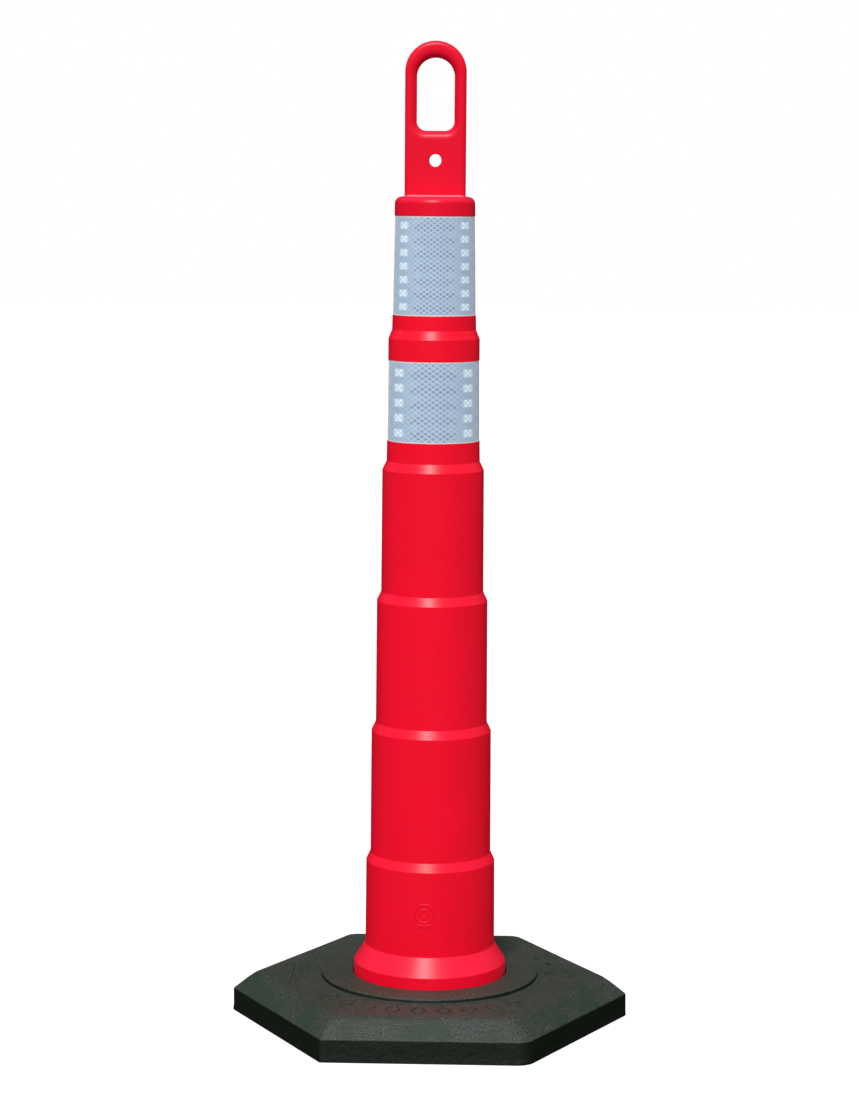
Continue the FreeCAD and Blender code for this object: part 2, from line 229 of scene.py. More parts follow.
def rounded_slab(across, depth, half_depth, rounding):
    """An outline's distance made into a plate of this half depth with rounded edges."""
    a = across + rounding
    b = np.abs(depth) - half_depth + rounding
    outer = np.hypot(np.maximum(a, 0.0), np.maximum(b, 0.0))
    return outer + np.minimum(np.maximum(a, b), 0.0) - rounding


def rounded_cut(solid, cutter, rounding):
    """A solid with a cutter taken away, and the rim rounded."""
    rim = np.hypot(np.maximum(solid + rounding, 0.0), np.maximum(rounding - cutter, 0.0))
    return np.minimum(np.maximum(solid, -cutter), -rounding) + rim


def blended(a, b, radius):
    """Two solids joined with a fillet between them."""
    near = np.hypot(np.maximum(radius - a, 0.0), np.maximum(radius - b, 0.0))
    return np.maximum(radius, np.minimum(a, b)) - near


def cap_and_handle(points):
    """Distance from points to the surface of the cap and handle, negative inside."""
    x, y, z = points[..., 0], points[..., 1], points[..., 2]
    arc = HANDLE_TOP - HANDLE_HALF
    outline = np.where(z > arc, np.hypot(x, z - arc) - HANDLE_HALF, np.abs(x) - HANDLE_HALF)
    hole_arc = HOLE_HIGH - HOLE_HALF
    across = np.abs(x) - (HOLE_HALF - HOLE_CORNER)
    down = HOLE_LOW + HOLE_CORNER - z
    corner = np.hypot(np.maximum(across, 0.0), np.maximum(down, 0.0))
    corner += np.minimum(np.maximum(across, down), 0.0) - HOLE_CORNER
    hole = np.where(z > hole_arc, np.hypot(x, z - hole_arc) - HOLE_HALF, corner)
    outer = rounded_slab(outline, y, HANDLE_DEPTH, HANDLE_EDGE)
    inner = rounded_slab(-hole, y, HANDLE_DEPTH, HOLE_EDGE)
    overlap = np.maximum(CREST_BLEND - np.abs(outer - inner), 0.0)
    plate = np.maximum(outer, inner) + overlap**2 / (4.0 * CREST_BLEND)
    lamp_hole = np.hypot(x, z - LAMP_HOLE_HEIGHT) - LAMP_HOLE_RADIUS
    plate = rounded_cut(plate, lamp_hole, LAMP_HOLE_EDGE)
    radius = wall_radius(SECTIONS - 1, z)
    cap = rounded_slab(np.hypot(x, y) - radius, z, CAP_TOP, CAP_ROUNDING)
    parting = PARTING_LINE * np.maximum(1.0 - np.abs(y) / PARTING_HALF, 0.0)
    outside = np.abs(x) > HOLE_HALF
    return blended(plate, cap, ROOT_FILLET) - parting * outside


def surface_net(distance, low, high, step):
    """Quads on the zero surface of a distance field inside a box. Each cell that the
    surface crosses gets one point, which then moves onto the surface."""
    axes = [np.arange(a, b + step, step) for a, b in zip(low, high)]
    values = distance(np.stack(np.meshgrid(*axes, indexing="ij"), -1))
    cells = np.array(values.shape) - 1
    total, count = np.zeros((*cells, 3)), np.zeros(cells)
    for axis in range(3):
        for i, j in ((0, 0), (0, 1), (1, 0), (1, 1)):
            start = np.insert([i, j], axis, 0)
            end = np.insert([i, j], axis, 1)
            a = values[tuple(slice(o, o + n) for o, n in zip(start, cells))]
            b = values[tuple(slice(o, o + n) for o, n in zip(end, cells))]
            crossed = (a < 0) != (b < 0)
            total[crossed] += start
            total[..., axis] += np.where(crossed, a / np.where(crossed, a - b, 1.0), 0.0)
            count += crossed
    used = count > 0
    index = np.full(cells, -1)
    index[used] = np.arange(used.sum())
    points = (np.argwhere(used) + total[used] / count[used][:, None]) * step + np.array(low)
    faces = []
    for axis in range(3):
        u, v = (axis + 1) % 3, (axis + 2) % 3
        here, there = [slice(None)] * 3, [slice(None)] * 3
        here[axis], there[axis] = slice(0, -1), slice(1, None)
        inside = values[tuple(here)] < 0
        at = np.argwhere(inside != (values[tuple(there)] < 0))
        fits = (at[:, u] > 0) & (at[:, v] > 0) & (at[:, u] < cells[u]) & (at[:, v] < cells[v])
        at = at[fits]
        corners = []
        for du, dv in ((1, 1), (0, 1), (0, 0), (1, 0)):
            cell = at.copy()
            cell[:, u] -= du
            cell[:, v] -= dv
            corners.append(index[tuple(cell.T)])
        quads = np.stack(corners, -1)
        outward = inside[tuple(at.T)]
        quads[~outward] = quads[~outward][:, ::-1]
        faces.append(quads)
    for _ in range(5):
        off = distance(points)
        slope = np.zeros_like(points)
        for axis in range(3):
            ahead = points.copy()
            ahead[:, axis] += 0.01
            slope[:, axis] = (distance(ahead) - off) / 0.01
        points -= slope * (off / np.maximum((slope**2).sum(1), 0.25))[:, None]
    return points, np.concatenate(faces)


# Raised marks


def raised_line(path, width, height, closed):
    """A low rounded ridge along a flat path, sunk a little at its foot. Each point is
    (along, across, height)."""
    path = np.array(path, float)
    if closed:
        ahead, behind = np.roll(path, -1, 0), np.roll(path, 1, 0)
    else:
        ahead, behind = np.vstack([path[1:], path[-1:]]), np.vstack([path[:1], path[:-1]])
    tangent = ahead - behind
    tangent /= np.linalg.norm(tangent, axis=1)[:, None]
    normal = np.stack([-tangent[:, 1], tangent[:, 0]], -1)
    section = [(-0.5, -0.4), (-0.33, 0.75), (0.0, 1.0), (0.33, 0.75), (0.5, -0.4)]
    rows = []
    for side, rise in section:
        level = np.full((len(path), 1), height * rise)
        rows.append(np.hstack([path + normal * side * width, level]))
    points = np.stack(rows, 1).reshape(-1, 3)
    faces = ring_faces(len(path), len(section), 0, closed).tolist()
    if not closed:
        faces.append(list(range(len(section)))[::-1])
        faces.append(list(range(len(points) - len(section), len(points))))
    return points, faces


def circle(radius, steps=48):
    """A closed round path."""
    turn = np.arange(steps) * 2 * math.pi / steps
    return radius * np.stack([np.cos(turn), np.sin(turn)], -1)


def join_shapes(shapes):
    """One set of points and faces from several."""
    points, faces, first = [], [], 0
    for shape_points, shape_faces in shapes:
        points.append(shape_points)
        faces += [[int(i) + first for i in face] for face in shape_faces]
        first += len(shape_points)
    return np.concatenate(points), faces


# The post

TURNED_STEPS = 180  # columns round the tube
NET_STEP = 0.9  # grid of the cap and handle's surface net


def turned_columns():
    """Angles round the post: even steps, with more on the moulding's parting line."""
    even = np.arange(TURNED_STEPS) * 360.0 / TURNED_STEPS
    beside = [-0.9, -0.45, 0.45, 0.9]
    extra = [side + step for side in (0.0, 180.0) for step in beside]
    return np.radians(np.sort(np.mod(np.concatenate([even, extra]), 360.0)))


def turned(outline, angles):
    """Points of an outline of (radius, height) turned round the post's axis."""
    radius, height = outline[:, :1], outline[:, 1:]
    level = height + 0.0 * angles
    around = [radius * np.cos(angles), radius * np.sin(angles), level]
    return np.stack(around, -1).reshape(-1, 3)


def add_parting_line(points):
    """Raises a thin line on both sides of the post where the mould's halves met."""
    radius = np.hypot(points[:, 0], points[:, 1])
    height = points[:, 2]
    amount = PARTING_LINE * np.maximum(1.0 - np.abs(points[:, 1]) / PARTING_HALF, 0.0)
    amount = np.where(height > FOOT_TOP, amount, 0.0)
    for band in band_box.values():
        covered = (height > band[0].z - 0.6) & (height < band[1].z + 0.6)
        amount = np.where(covered, 0.0, amount)
    points[:, :2] *= (1.0 + amount / radius)[:, None]


def make_post(material):
    """The turned tube, outside and inside, with the cap and handle bridged onto it."""
    angles = turned_columns()
    columns = len(angles)
    outside = rounded_path(outside_corners())
    inside = rounded_path(inside_corners(), steps=3)[1:]
    outer_points = turned(outside, angles)
    add_parting_line(outer_points)
    inner_points = turned(inside, angles)
    turned_points = np.concatenate([outer_points, inner_points])
    outer_faces = ring_faces(len(outside), columns)
    inner_first = len(outer_points)
    inner_faces = ring_faces(len(inside), columns, inner_first)[:, ::-1]
    foot = np.arange(columns)
    beside = (foot + 1) % columns
    join = np.stack([beside, foot, foot + inner_first, beside + inner_first], -1)
    top = np.arange(columns) + inner_first + (len(inside) - 1) * columns
    span = wall_radius(SECTIONS - 1, SEAM_HEIGHT) + 3.0
    net_low, net_high = (-span, -span, SEAM_HEIGHT + 0.4), (span, span, HANDLE_TOP + 2.0)
    net_points, net_faces = surface_net(cap_and_handle, net_low, net_high, NET_STEP)
    points = np.concatenate([turned_points, net_points])
    faces = [list(f) for f in np.concatenate([outer_faces, inner_faces, join])]
    faces.append(list(top[::-1]))
    faces += [list(f) for f in net_faces + len(turned_points)]
    seam = range((len(outside) - 1) * columns, len(outside) * columns)
    points, faces = join_shapes([(points, faces), *foot_marks()])
    piece = add_piece("post_shell", points, faces, "post", "post_body", material)
    join_at_seam(piece.data, set(seam), len(turned_points))


def on_post(shape, turn, height):
    """A raised shape wrapped on the lowest section, its second axis pointing up."""
    points, faces = shape
    up = height + points[:, 1]
    radius = wall_radius(0, up)
    angle = math.radians(turn) + points[:, 0] / radius
    radius = radius + points[:, 2] - 0.1
    return np.stack([radius * np.cos(angle), radius * np.sin(angle), up], -1), faces


def foot_marks():
    """A plain ring mark near the foot, with a row of short bars under it."""
    shapes = []
    for radius in RING_RADII:
        outline = raised_line(circle(radius), 1.7, 0.7, True)
        shapes.append(on_post(outline, MARK_TURN, MARK_HEIGHT))
    for step in range(4):
        across = BAR_SPACING * (step - 1.5)
        bar = raised_line([(across, -2.4), (across, 0.0), (across, 2.4)], 1.3, 0.5, False)
        shapes.append(on_post(bar, MARK_TURN, MARK_HEIGHT - BARS_BELOW))
    return shapes


def join_at_seam(mesh, tube_ring, first_cap_point):
    """Bridges the tube's open top ring and the cap's open lower edge."""
    work = bmesh.new()
    work.from_mesh(mesh)
    work.verts.ensure_lookup_table()
    ends = []
    for edge in work.edges:
        if not edge.is_boundary:
            continue
        a, b = (vertex.index for vertex in edge.verts)
        if (a in tube_ring and b in tube_ring) or min(a, b) >= first_cap_point:
            ends.append(edge)
    made = bmesh.ops.bridge_loops(work, edges=ends)
    for face in made["faces"]:
        face.smooth = True
    bmesh.ops.recalc_face_normals(work, faces=work.faces)
    work.to_mesh(mesh)
    work.free()


# The reflective bands

CELL_ANGLE = 360.0 / 39  # one diamond of the sheeting, round the post
ROW_PITCH = 2.88  # diamonds between two rows of painted glints
GLINT_ANGLE = 98.5  # degrees between two columns of painted glints
# The painted glints and the shaded diamonds are laid out from the side that faces the camera.
PATTERN_CENTRE = FRONT + 1.1
CELL_HEIGHT = {"lower": 5.6, "upper": 5.0}
FIRST_ROW = {"lower": 12.2, "upper": 9.8}  # below the band's upper edge
LAP = 9.0  # the strip's overlap at the back of the post


def make_band(band, material):
    """A strip of sheeting in its recess, whose last part laps over its start."""
    low, high = band_box[band][0].z, band_box[band][1].z
    section = BAND_SECTION[band]
    lap_angle = math.degrees(LAP / wall_radius(section, low))
    ramp = math.degrees(2.0 / wall_radius(section, low))
    seam = FRONT + 180.0
    even = np.linspace(seam - 360.0, seam + lap_angle, 250)
    on_ramp = np.linspace(seam - ramp, seam + 1.0, 12)
    columns = np.unique(np.concatenate([even, on_ramp]))
    lift = smooth_step(columns, seam - ramp, seam) * (BAND_THICKNESS * 0.9)
    edge = 0.12
    section_points = [
        (low, 0.3),
        (low + edge, 1.0),
        (low + 3 * edge, 1.0),
        (high - 3 * edge, 1.0),
        (high - edge, 1.0),
        (high, 0.3),
        (high - edge, 0.0),
        (low + edge, 0.0),
    ]
    points, cells, edges = [], [], []
    for angle, rise in zip(columns, lift):
        for height, share in section_points:
            floor = wall_radius(section, height) - RECESS + BAND_GAP
            radius = floor + rise + share * BAND_THICKNESS
            turn = math.radians(angle)
            points.append((radius * math.cos(turn), radius * math.sin(turn), height))
            down = (high - FIRST_ROW[band] - height) / CELL_HEIGHT[band]
            cells.append(((angle - PATTERN_CENTRE) / CELL_ANGLE, down, 0.0))
            edges.append((height - low, high - height, 0.0))
    faces = ring_faces(len(columns), len(section_points))[:, ::-1].tolist()
    ends = list(range(len(section_points)))
    faces.append(ends)
    faces.append([len(points) - 1 - i for i in ends])
    name = f"{band}_sheeting"
    node = f"{band}_reflective_band"
    piece = add_piece(name, points, faces, "post", node, material)
    for attribute, values in (("cells", cells), ("edges", edges)):
        layer = piece.data.attributes.new(attribute, "FLOAT_VECTOR", "POINT")
        layer.data.foreach_set("vector", np.array(values, np.float32).ravel())
    work = bmesh.new()
    work.from_mesh(piece.data)
    bmesh.ops.recalc_face_normals(work, faces=work.faces)
    work.to_mesh(piece.data)
    work.free()


# The base

SIDES = 6
CORNER_STEPS, SIDE_STEPS = 8, 34
HIP_ROUNDING = 8.0  # added to the corners towards the top of the bevel
RIM_START, RIM_END = 150.0, 155.0  # where the rim's outline begins below and ends on top
LONGEST_ROW = 12.0  # longer runs of the rim's outline are divided
WORN_CORNER = {0: 4.0, 1: 4.0, 2: 4.0, 3: 3.5, 4: 3.5, 5: 20.0}  # radius at each upright edge


def hexagon(apothem, rounding):
    """A hexagon with corners on the X axis, each rounded by its own radius."""
    arcs = []
    for corner in range(SIDES):
        radius = rounding[corner]
        middle = math.radians(corner * 60.0)
        out = (apothem - radius) / math.cos(math.pi / SIDES)
        centre = np.array([math.cos(middle), math.sin(middle)]) * out
        turn = middle + np.radians(np.linspace(-30.0, 30.0, CORNER_STEPS + 1))
        arcs.append(centre + radius * np.stack([np.cos(turn), np.sin(turn)], -1))
    points = []
    for arc, following in zip(arcs, arcs[1:] + arcs[:1]):
        share = np.linspace(0.0, 1.0, SIDE_STEPS + 1)[1:-1, None]
        points += [arc, arc[-1] + (following[0] - arc[-1]) * share]
    return np.concatenate(points)


def wear(points):
    """Small hollows and waves of a cast rubber block. Nothing moves outwards."""
    for i, (x, y, z) in enumerate(points):
        wave = noise.noise(Vector((x, y, z * 2.0)) / 55.0)
        small = noise.noise(Vector((x + 40.0, y, z * 2.0)) / 14.0)
        depth = 0.45 + 0.4 * wave + 0.12 * small
        out = math.hypot(x, y)
        if BASE_SIDE * 0.1 < z < BASE_FLAT - 0.3 and out > DISC_RADIUS:
            points[i, 0] *= 1.0 - depth / out
            points[i, 1] *= 1.0 - depth / out
        elif z >= BASE_FLAT - 0.3:
            points[i, 2] -= 0.5 * depth


def make_base(material):
    """The rim as hexagons, which turn into circles towards the disc and the hole."""
    corners = [
        (RIM_START, 0.0, 0.0),
        (BASE_HALF, 0.0, 1.0),
        (BASE_HALF, BASE_SIDE, 3.0),
        (BASE_HALF - BASE_BEVEL, BASE_FLAT, BEVEL_EDGE),
        (RIM_END, BASE_FLAT, 0.0),
    ]
    rim = rounded_path(corners, hold=1.0)
    rows = []
    for i, (apothem, height) in enumerate(rim):
        inset = BASE_HALF - apothem
        softer = HIP_ROUNDING * smooth_step(inset, 0.0, BASE_BEVEL)
        rounding = [WORN_CORNER[corner] + softer for corner in range(SIDES)]
        rows.append((hexagon(apothem, rounding), height))
        if 0 < i < len(rim) - 1 and np.linalg.norm(rim[i + 1] - rim[i]) > LONGEST_ROW:
            for share in np.arange(1, 5) / 5:
                a, z = rim[i] + (rim[i + 1] - rim[i]) * share
                rows.append((hexagon(a, rounding), z))
    inner_edge = rows[-1][0]
    angle = np.arctan2(inner_edge[:, 1], inner_edge[:, 0])
    outward = np.stack([np.cos(angle), np.sin(angle)], -1)
    for share in np.arange(1, 8) / 8:
        blend = inner_edge * (1 - share) + outward * (DISC_RADIUS + DISC_BORDER) * share
        rows.append((blend, BASE_FLAT))
    disc = [
        (DISC_RADIUS + DISC_BORDER, BASE_FLAT, 0.0),
        (DISC_RADIUS, BASE_FLAT, 0.8),
        (DISC_RADIUS - 0.4, DISC_TOP, DISC_EDGE),
        (HOLE_RADIUS, DISC_TOP, 0.6),
        (HOLE_RADIUS, SEAT_TOP, 0.5),
        (SEAT_RADIUS, SEAT_TOP, 0.5),
        (SEAT_RADIUS, 0.0, 0.5),
        (SEAT_RADIUS + 4.0, 0.0, 0.0),
    ]
    rows += [(outward * radius, height) for radius, height in rounded_path(disc, hold=0.6)]
    columns = len(outward)
    points = [np.hstack([ring, np.full((columns, 1), height)]) for ring, height in rows]
    points = np.concatenate(points)
    wear(points)
    faces = ring_faces(len(rows), columns, close_rows=True)
    points, faces = join_shapes([(points, faces), *base_marks()])
    add_piece("base_block", points, faces, "base", "rubber_base", material)


# The marks on its flat top: distances from the middle, and degrees from one to the next
DIAMOND_OUT, DIAMOND_TURN, DIAMOND_STEP = 145.0, FRONT - 3.0, 10.8
BARS_OUT, BARS_TURN = 139.0, 180.0
RING_OUT, RING_TURN, RING_RADIUS = 143.0, 1.0, 14.5
NOTCHES = ((29.0, 136.0), (18.0, 140.0))  # degrees, distance


def on_base(shape, radius, angle):
    """A raised shape laid on the base's flat top, its second axis pointing outwards."""
    points, faces = shape
    turn = math.radians(angle)
    out, along = (math.cos(turn), math.sin(turn)), (-math.sin(turn), math.cos(turn))
    placed = np.empty_like(points)
    for axis in range(2):
        placed[:, axis] = (radius + points[:, 1]) * out[axis] + points[:, 0] * along[axis]
    placed[:, 2] = BASE_FLAT - 0.25 + points[:, 2]
    return placed, faces


def base_marks():
    """Plain raised shapes round the front of the base's top, and at its two sides."""
    shapes = []
    diamond = [(0.0, 13.0), (-4.0, 6.5), (-8.0, 0.0), (-4.0, -6.5), (0.0, -13.0)]
    diamond += [(-x, y) for x, y in diamond[3:0:-1]]
    for step in range(-4, 5):
        outline = raised_line(diamond, 1.8, 1.0, True)
        shapes.append(on_base(outline, DIAMOND_OUT, DIAMOND_TURN + DIAMOND_STEP * step))
    for row in range(4):
        for column in range(11):
            along, out = 6.4 * column - 32.0, 7.6 * row
            bar = raised_line([(along, out - 2.3), (along, out + 2.3)], 1.7, 0.9, False)
            shapes.append(on_base(bar, BARS_OUT, BARS_TURN))
    for place, out in NOTCHES:
        notch = raised_line([(-3.0, 0.0), (3.0, 0.0)], 3.4, 2.4, False)
        shapes.append(on_base(notch, out, place))
    ring = raised_line(circle(RING_RADIUS), 1.8, 1.0, True)
    shapes.append(on_base(ring, RING_OUT, RING_TURN))
    return shapes


# Materials


class Signal:
    """A node's output, which can be added, multiplied and compared like a number."""

    def __init__(self, shader, socket):
        self.shader = shader
        self.socket = socket

    def __add__(self, other):
        return self.shader.math("ADD", self, other)

    def __sub__(self, other):
        return self.shader.math("SUBTRACT", self, other)

    def __mul__(self, other):
        return self.shader.math("MULTIPLY", self, other)

    def __truediv__(self, other):
        return self.shader.math("DIVIDE", self, other)


class Shader:
    """A Principled material whose colour, roughness and relief come from nodes."""

    def __init__(self, name, fixed):
        self.material = bpy.data.materials.new(name)
        self.material.use_nodes = True
        self.tree = self.material.node_tree
        self.surface = self.tree.nodes["Principled BSDF"]
        for socket, value in fixed.items():
            self.surface.inputs[socket].default_value = value

    def plug(self, socket, value):
        if isinstance(value, Signal):
            self.tree.links.new(value.socket, socket)
        else:
            socket.default_value = value

    def node(self, kind, inputs, **settings):
        made = self.tree.nodes.new("ShaderNode" + kind)
        for name, value in settings.items():
            setattr(made, name, value)
        for name, value in inputs.items():
            self.plug(made.inputs[name], value)
        return made

    def math(self, operation, *values):
        made = self.node("Math", dict(enumerate(values)), operation=operation)
        return Signal(self, made.outputs[0])

    def absolute(self, value):
        return self.math("ABSOLUTE", value)

    def least(self, a, b):
        return self.math("MINIMUM", a, b)

    def most(self, a, b):
        return self.math("MAXIMUM", a, b)

    def rise(self, value, low, high):
        """0 below low, 1 above high (or the reverse if high is lower), smooth between."""
        made = self.node(
            "MapRange",
            {"Value": value, "From Min": low, "From Max": high},
            interpolation_type="SMOOTHSTEP",
        )
        return Signal(self, made.outputs["Result"])

    def parts(self, vector):
        made = self.node("SeparateXYZ", {"Vector": vector})
        return [Signal(self, output) for output in made.outputs]

    def place(self, stretch=(1.0, 1.0, 1.0)):
        """Where a point is on the object, in millimetres, stretched along each axis."""
        where = self.node("TexCoord", {}).outputs["Object"]
        scale = [factor / MM for factor in stretch]
        made = self.node("Mapping", {"Vector": Signal(self, where), "Scale": scale})
        return Signal(self, made.outputs["Vector"])

    def normal(self):
        return self.parts(Signal(self, self.node("TexCoord", {}).outputs["Normal"]))

    def attribute(self, name):
        made = self.node("Attribute", {}, attribute_name=name)
        return self.parts(Signal(self, made.outputs["Vector"]))

    def clouds(self, size, detail=3.0, roughness=0.5, stretch=(1.0, 1.0, 1.0)):
        """Noise from 0 to 1 whose blotches are about size millimetres across."""
        inputs = {
            "Vector": self.place(stretch),
            "Scale": 1.0 / size,
            "Detail": detail,
            "Roughness": roughness,
        }
        return Signal(self, self.node("TexNoise", inputs).outputs[0])

    def specks(self, spacing, radius, share):
        """Round specks: one in each cell of the given spacing, in a share of the cells."""
        made = self.node("TexVoronoi", {"Vector": self.place(), "Scale": 1.0 / spacing})
        edge = radius / spacing
        dot = self.rise(Signal(self, made.outputs["Distance"]), edge, 0.4 * edge)
        chance = self.parts(Signal(self, made.outputs["Color"]))[0]
        return dot * self.math("LESS_THAN", chance, share)

    def mix(self, amount, a, b):
        """Colour a where amount is 0 and colour b where it is 1."""
        made = self.node("Mix", {}, data_type="RGBA")
        for name, value in (("Factor", amount), ("A", a), ("B", b)):
            sockets = [s for s in made.inputs if s.name == name and s.enabled]
            value = (*value, 1.0) if isinstance(value, tuple) else value
            self.plug(sockets[0], value)
        found = [s for s in made.outputs if s.enabled]
        return Signal(self, found[0])

    def finish(self, colour, roughness, *reliefs):
        """Plugs everything in. Each relief is (height signal, height in millimetres)."""
        self.plug(self.surface.inputs["Base Color"], colour)
        self.plug(self.surface.inputs["Roughness"], roughness)
        normal = None
        for height, depth in reliefs:
            inputs = {"Height": height, "Distance": depth * MM, "Strength": 1.0}
            if normal:
                inputs["Normal"] = normal
            normal = Signal(self, self.node("Bump", inputs).outputs["Normal"])
        self.plug(self.surface.inputs["Normal"], normal)
        return self.material


def red_plastic():
    """Blow-moulded polyethylene: satin, slightly uneven, with painted sheen on the slopes."""
    s = Shader("red_plastic", {"IOR": 1.5, "Specular IOR Level": 0.28})
    broad = s.clouds(70.0, 2.0)
    streaks = s.clouds(14.0, 3.0, 0.6, (1.0, 1.0, 0.15))
    skin = s.clouds(1.4, 3.0, 0.6)
    wavy = s.clouds(30.0, 1.0, 0.4, (1.0, 1.0, 0.5))
    shade = s.mix(s.rise(broad, 0.3, 0.7), (0.865, 0.0003, 0.018), (0.90, 0.0005, 0.021))
    shade = s.mix(s.rise(streaks, 0.45, 0.75) * 0.12, shade, (0.83, 0.0003, 0.015))
    _, depth, height = s.parts(s.place())
    # Painted shade: the colour darkens towards the top, over the cap and the handle.
    shade = s.mix(s.rise(height, 850.0, 890.0) * 0.6, shade, (0.72, 0.0002, 0.023))
    # Painted sheen and light: up-facing slopes turn a paler, whiter pink.
    up = s.rise(s.normal()[2], 0.25, 0.75)
    shade = s.mix(up * 0.32, shade, (0.78, 0.038, 0.12))
    # Painted highlight: a pale pink line where the handle's faces meet the cap top, running on
    # across the cap.
    from_root = s.absolute(height - CAP_TOP) + s.absolute(s.absolute(depth) - HANDLE_DEPTH)
    shade = s.mix(s.rise(from_root, 3.2, 1.0) * 0.45, shade, (0.90, 0.24, 0.33))
    roughness = s.rise(skin, 0.3, 0.7) * 0.06 + 0.33
    return s.finish(shade, roughness, (wavy, 0.12), (skin, 0.010))


def sheeting():
    """Prismatic reflective sheeting: a diamond lattice, with rows of painted glints and painted
    shade on the diamonds between their columns.
    """
    fixed = {"IOR": 1.5, "Specular IOR Level": 0.3, "Sheen Weight": 0.5, "Sheen Roughness": 0.4}
    s = Shader("reflective_sheeting", fixed)

    def offset(value, start, period):
        """How far the nearest of a row of places, one period apart, is passed."""
        return (s.math("FRACT", (value - start) / period + 0.5) - 0.5) * period

    def to_half(value):
        """Distance of a value's fraction from a half."""
        return s.absolute(s.math("FRACT", value) - 0.5)

    across, down, _ = s.attribute("cells")
    above, below, _ = s.attribute("edges")
    rising, falling = across + down, across - down
    a, b = s.math("FLOOR", rising), s.math("FLOOR", falling)
    to_line = s.most(to_half(rising), to_half(falling))
    line = s.rise(to_line, 0.35, 0.43)
    cell_across, cell_down = (a + b + 1.0) * 0.5, (a - b) * 0.5

    period = GLINT_ANGLE / CELL_ANGLE
    # Painted shade: the diamonds darken in the columns midway between the glints, one of which
    # faces the front, and the lattice lines grow paler towards them.
    centre = s.absolute(offset(cell_across, 0.0, period))
    strong = s.absolute(offset(cell_down, 0.42, ROW_PITCH))
    in_row = s.rise(strong, 1.1, 0.25)
    middle = s.rise(centre - in_row * 1.3 - 1.8, 0.55, -0.2)
    painted_prism_shade = middle * s.rise(to_line, 0.41, 0.30) * (in_row * 0.32 + 0.50)
    fade = s.rise(centre, 5.2, 2.6) * 0.7 + 0.3
    # Painted glints: bright prism glints in rows, in the columns midway between the shaded
    # ones.
    beside, above_row = offset(across, period / 2, period), offset(down, 0.0, ROW_PITCH)
    mark = s.rise(s.absolute(beside), 1.3, 0.6) * s.rise(s.absolute(above_row), 1.0, 0.5)
    to_facet = s.least(to_half(beside + above_row), to_half(beside - above_row))
    glint = mark * (s.rise(to_facet, 0.0, 0.22) * 0.5 + 0.5)
    border = s.rise(s.least(above, below), 1.7, 1.1)
    tone = s.clouds(30.0, 2.0)
    # The pale blue is partly the sheeting's own colour and partly painted sky reflection.
    shade = s.mix(s.rise(tone, 0.3, 0.7), (0.355, 0.47, 0.625), (0.385, 0.505, 0.655))
    shade = s.mix(line * fade, shade, (0.50, 0.62, 0.77))
    shade = s.mix(painted_prism_shade, shade, (0.23, 0.315, 0.435))
    shade = s.mix(glint, shade, (0.62, 0.82, 1.0))
    shade = s.mix(s.rise(glint, 0.55, 1.05), shade, (0.86, 0.97, 1.0))
    shade = s.mix(border * 0.8, shade, (0.80, 0.72, 0.70))
    roughness = line * 0.15 + 0.30
    return s.finish(shade, roughness, (line, 0.05))


def rubber():
    """Recycled rubber: crumb grain, dusty brown and green blotches where it faces up, and
    near-black upright sides with painted shade.
    """
    s = Shader("recycled_rubber", {"IOR": 1.5, "Specular IOR Level": 0.57})
    grain = s.clouds(2.0, 3.0, 0.7)
    crumbs = s.clouds(6.0, 4.0, 0.65)
    blotches = s.clouds(75.0, 3.0, 0.55)
    patches = s.clouds(38.0, 4.0, 0.6)
    speckle = s.rise(grain, 0.38, 0.66)
    along_x, along_y, _ = s.parts(s.place())
    out = s.math("SQRT", along_x * along_x + along_y * along_y)
    inside = s.rise(out, DISC_RADIUS + 6.0, DISC_RADIUS + 2.0)
    up = s.rise(s.normal()[2], 0.88, 0.99)
    slope = s.rise(s.normal()[2], 0.25, 0.6)
    # The upright sides are near black: clean rubber, darkened further as painted shade.
    side = s.mix(speckle, (0.0015, 0.0043, 0.0013), (0.0072, 0.0125, 0.0066))
    dust = s.rise(s.clouds(1.3, 2.0, 0.7), 0.35, 0.70)
    bevel = s.mix(dust, (0.009, 0.016, 0.011), (0.076, 0.086, 0.076))
    bevel = s.mix(s.rise(patches, 0.44, 0.58) * 0.8, bevel, (0.020, 0.041, 0.023))
    brown, green = (0.026, 0.028, 0.023), (0.009, 0.026, 0.011)
    dusty = s.mix(s.rise(blotches, 0.44, 0.56), brown, (0.018, 0.028, 0.021))
    dusty = s.mix(s.rise(patches, 0.47, 0.58) * 0.85, dusty, green)
    dusty = s.mix(dust * 0.8, dusty, (0.078, 0.085, 0.076))
    dusty = s.mix(s.rise(grain, 0.48, 0.64) * 0.4, dusty, (0.008, 0.012, 0.008))
    shade = s.mix(slope, side, s.mix(inside, bevel, dusty))
    shade = s.mix(up, shade, dusty)
    pale = s.specks(16.0, 1.0, 0.42) * s.rise(s.normal()[2], 0.3, 0.6)
    shade = s.mix(pale * 0.8, shade, (0.36, 0.33, 0.28))
    roughness = speckle * -0.12 + 0.64
    return s.finish(shade, roughness, (crumbs, 1.0), (grain, 0.6))


def floor_white():
    """A pale floor that keeps only a trace of the object's shadow."""
    s = Shader("floor", {"Specular IOR Level": 0.0})
    tone = s.clouds(400.0, 2.0)
    shade = s.mix(tone, (0.30, 0.30, 0.30), (0.31, 0.31, 0.31))
    s.surface.inputs["Emission Color"].default_value = (1.0, 1.0, 1.0, 1.0)
    s.surface.inputs["Emission Strength"].default_value = 0.82
    return s.finish(shade, 0.9, (tone, 0.01))


# The scene

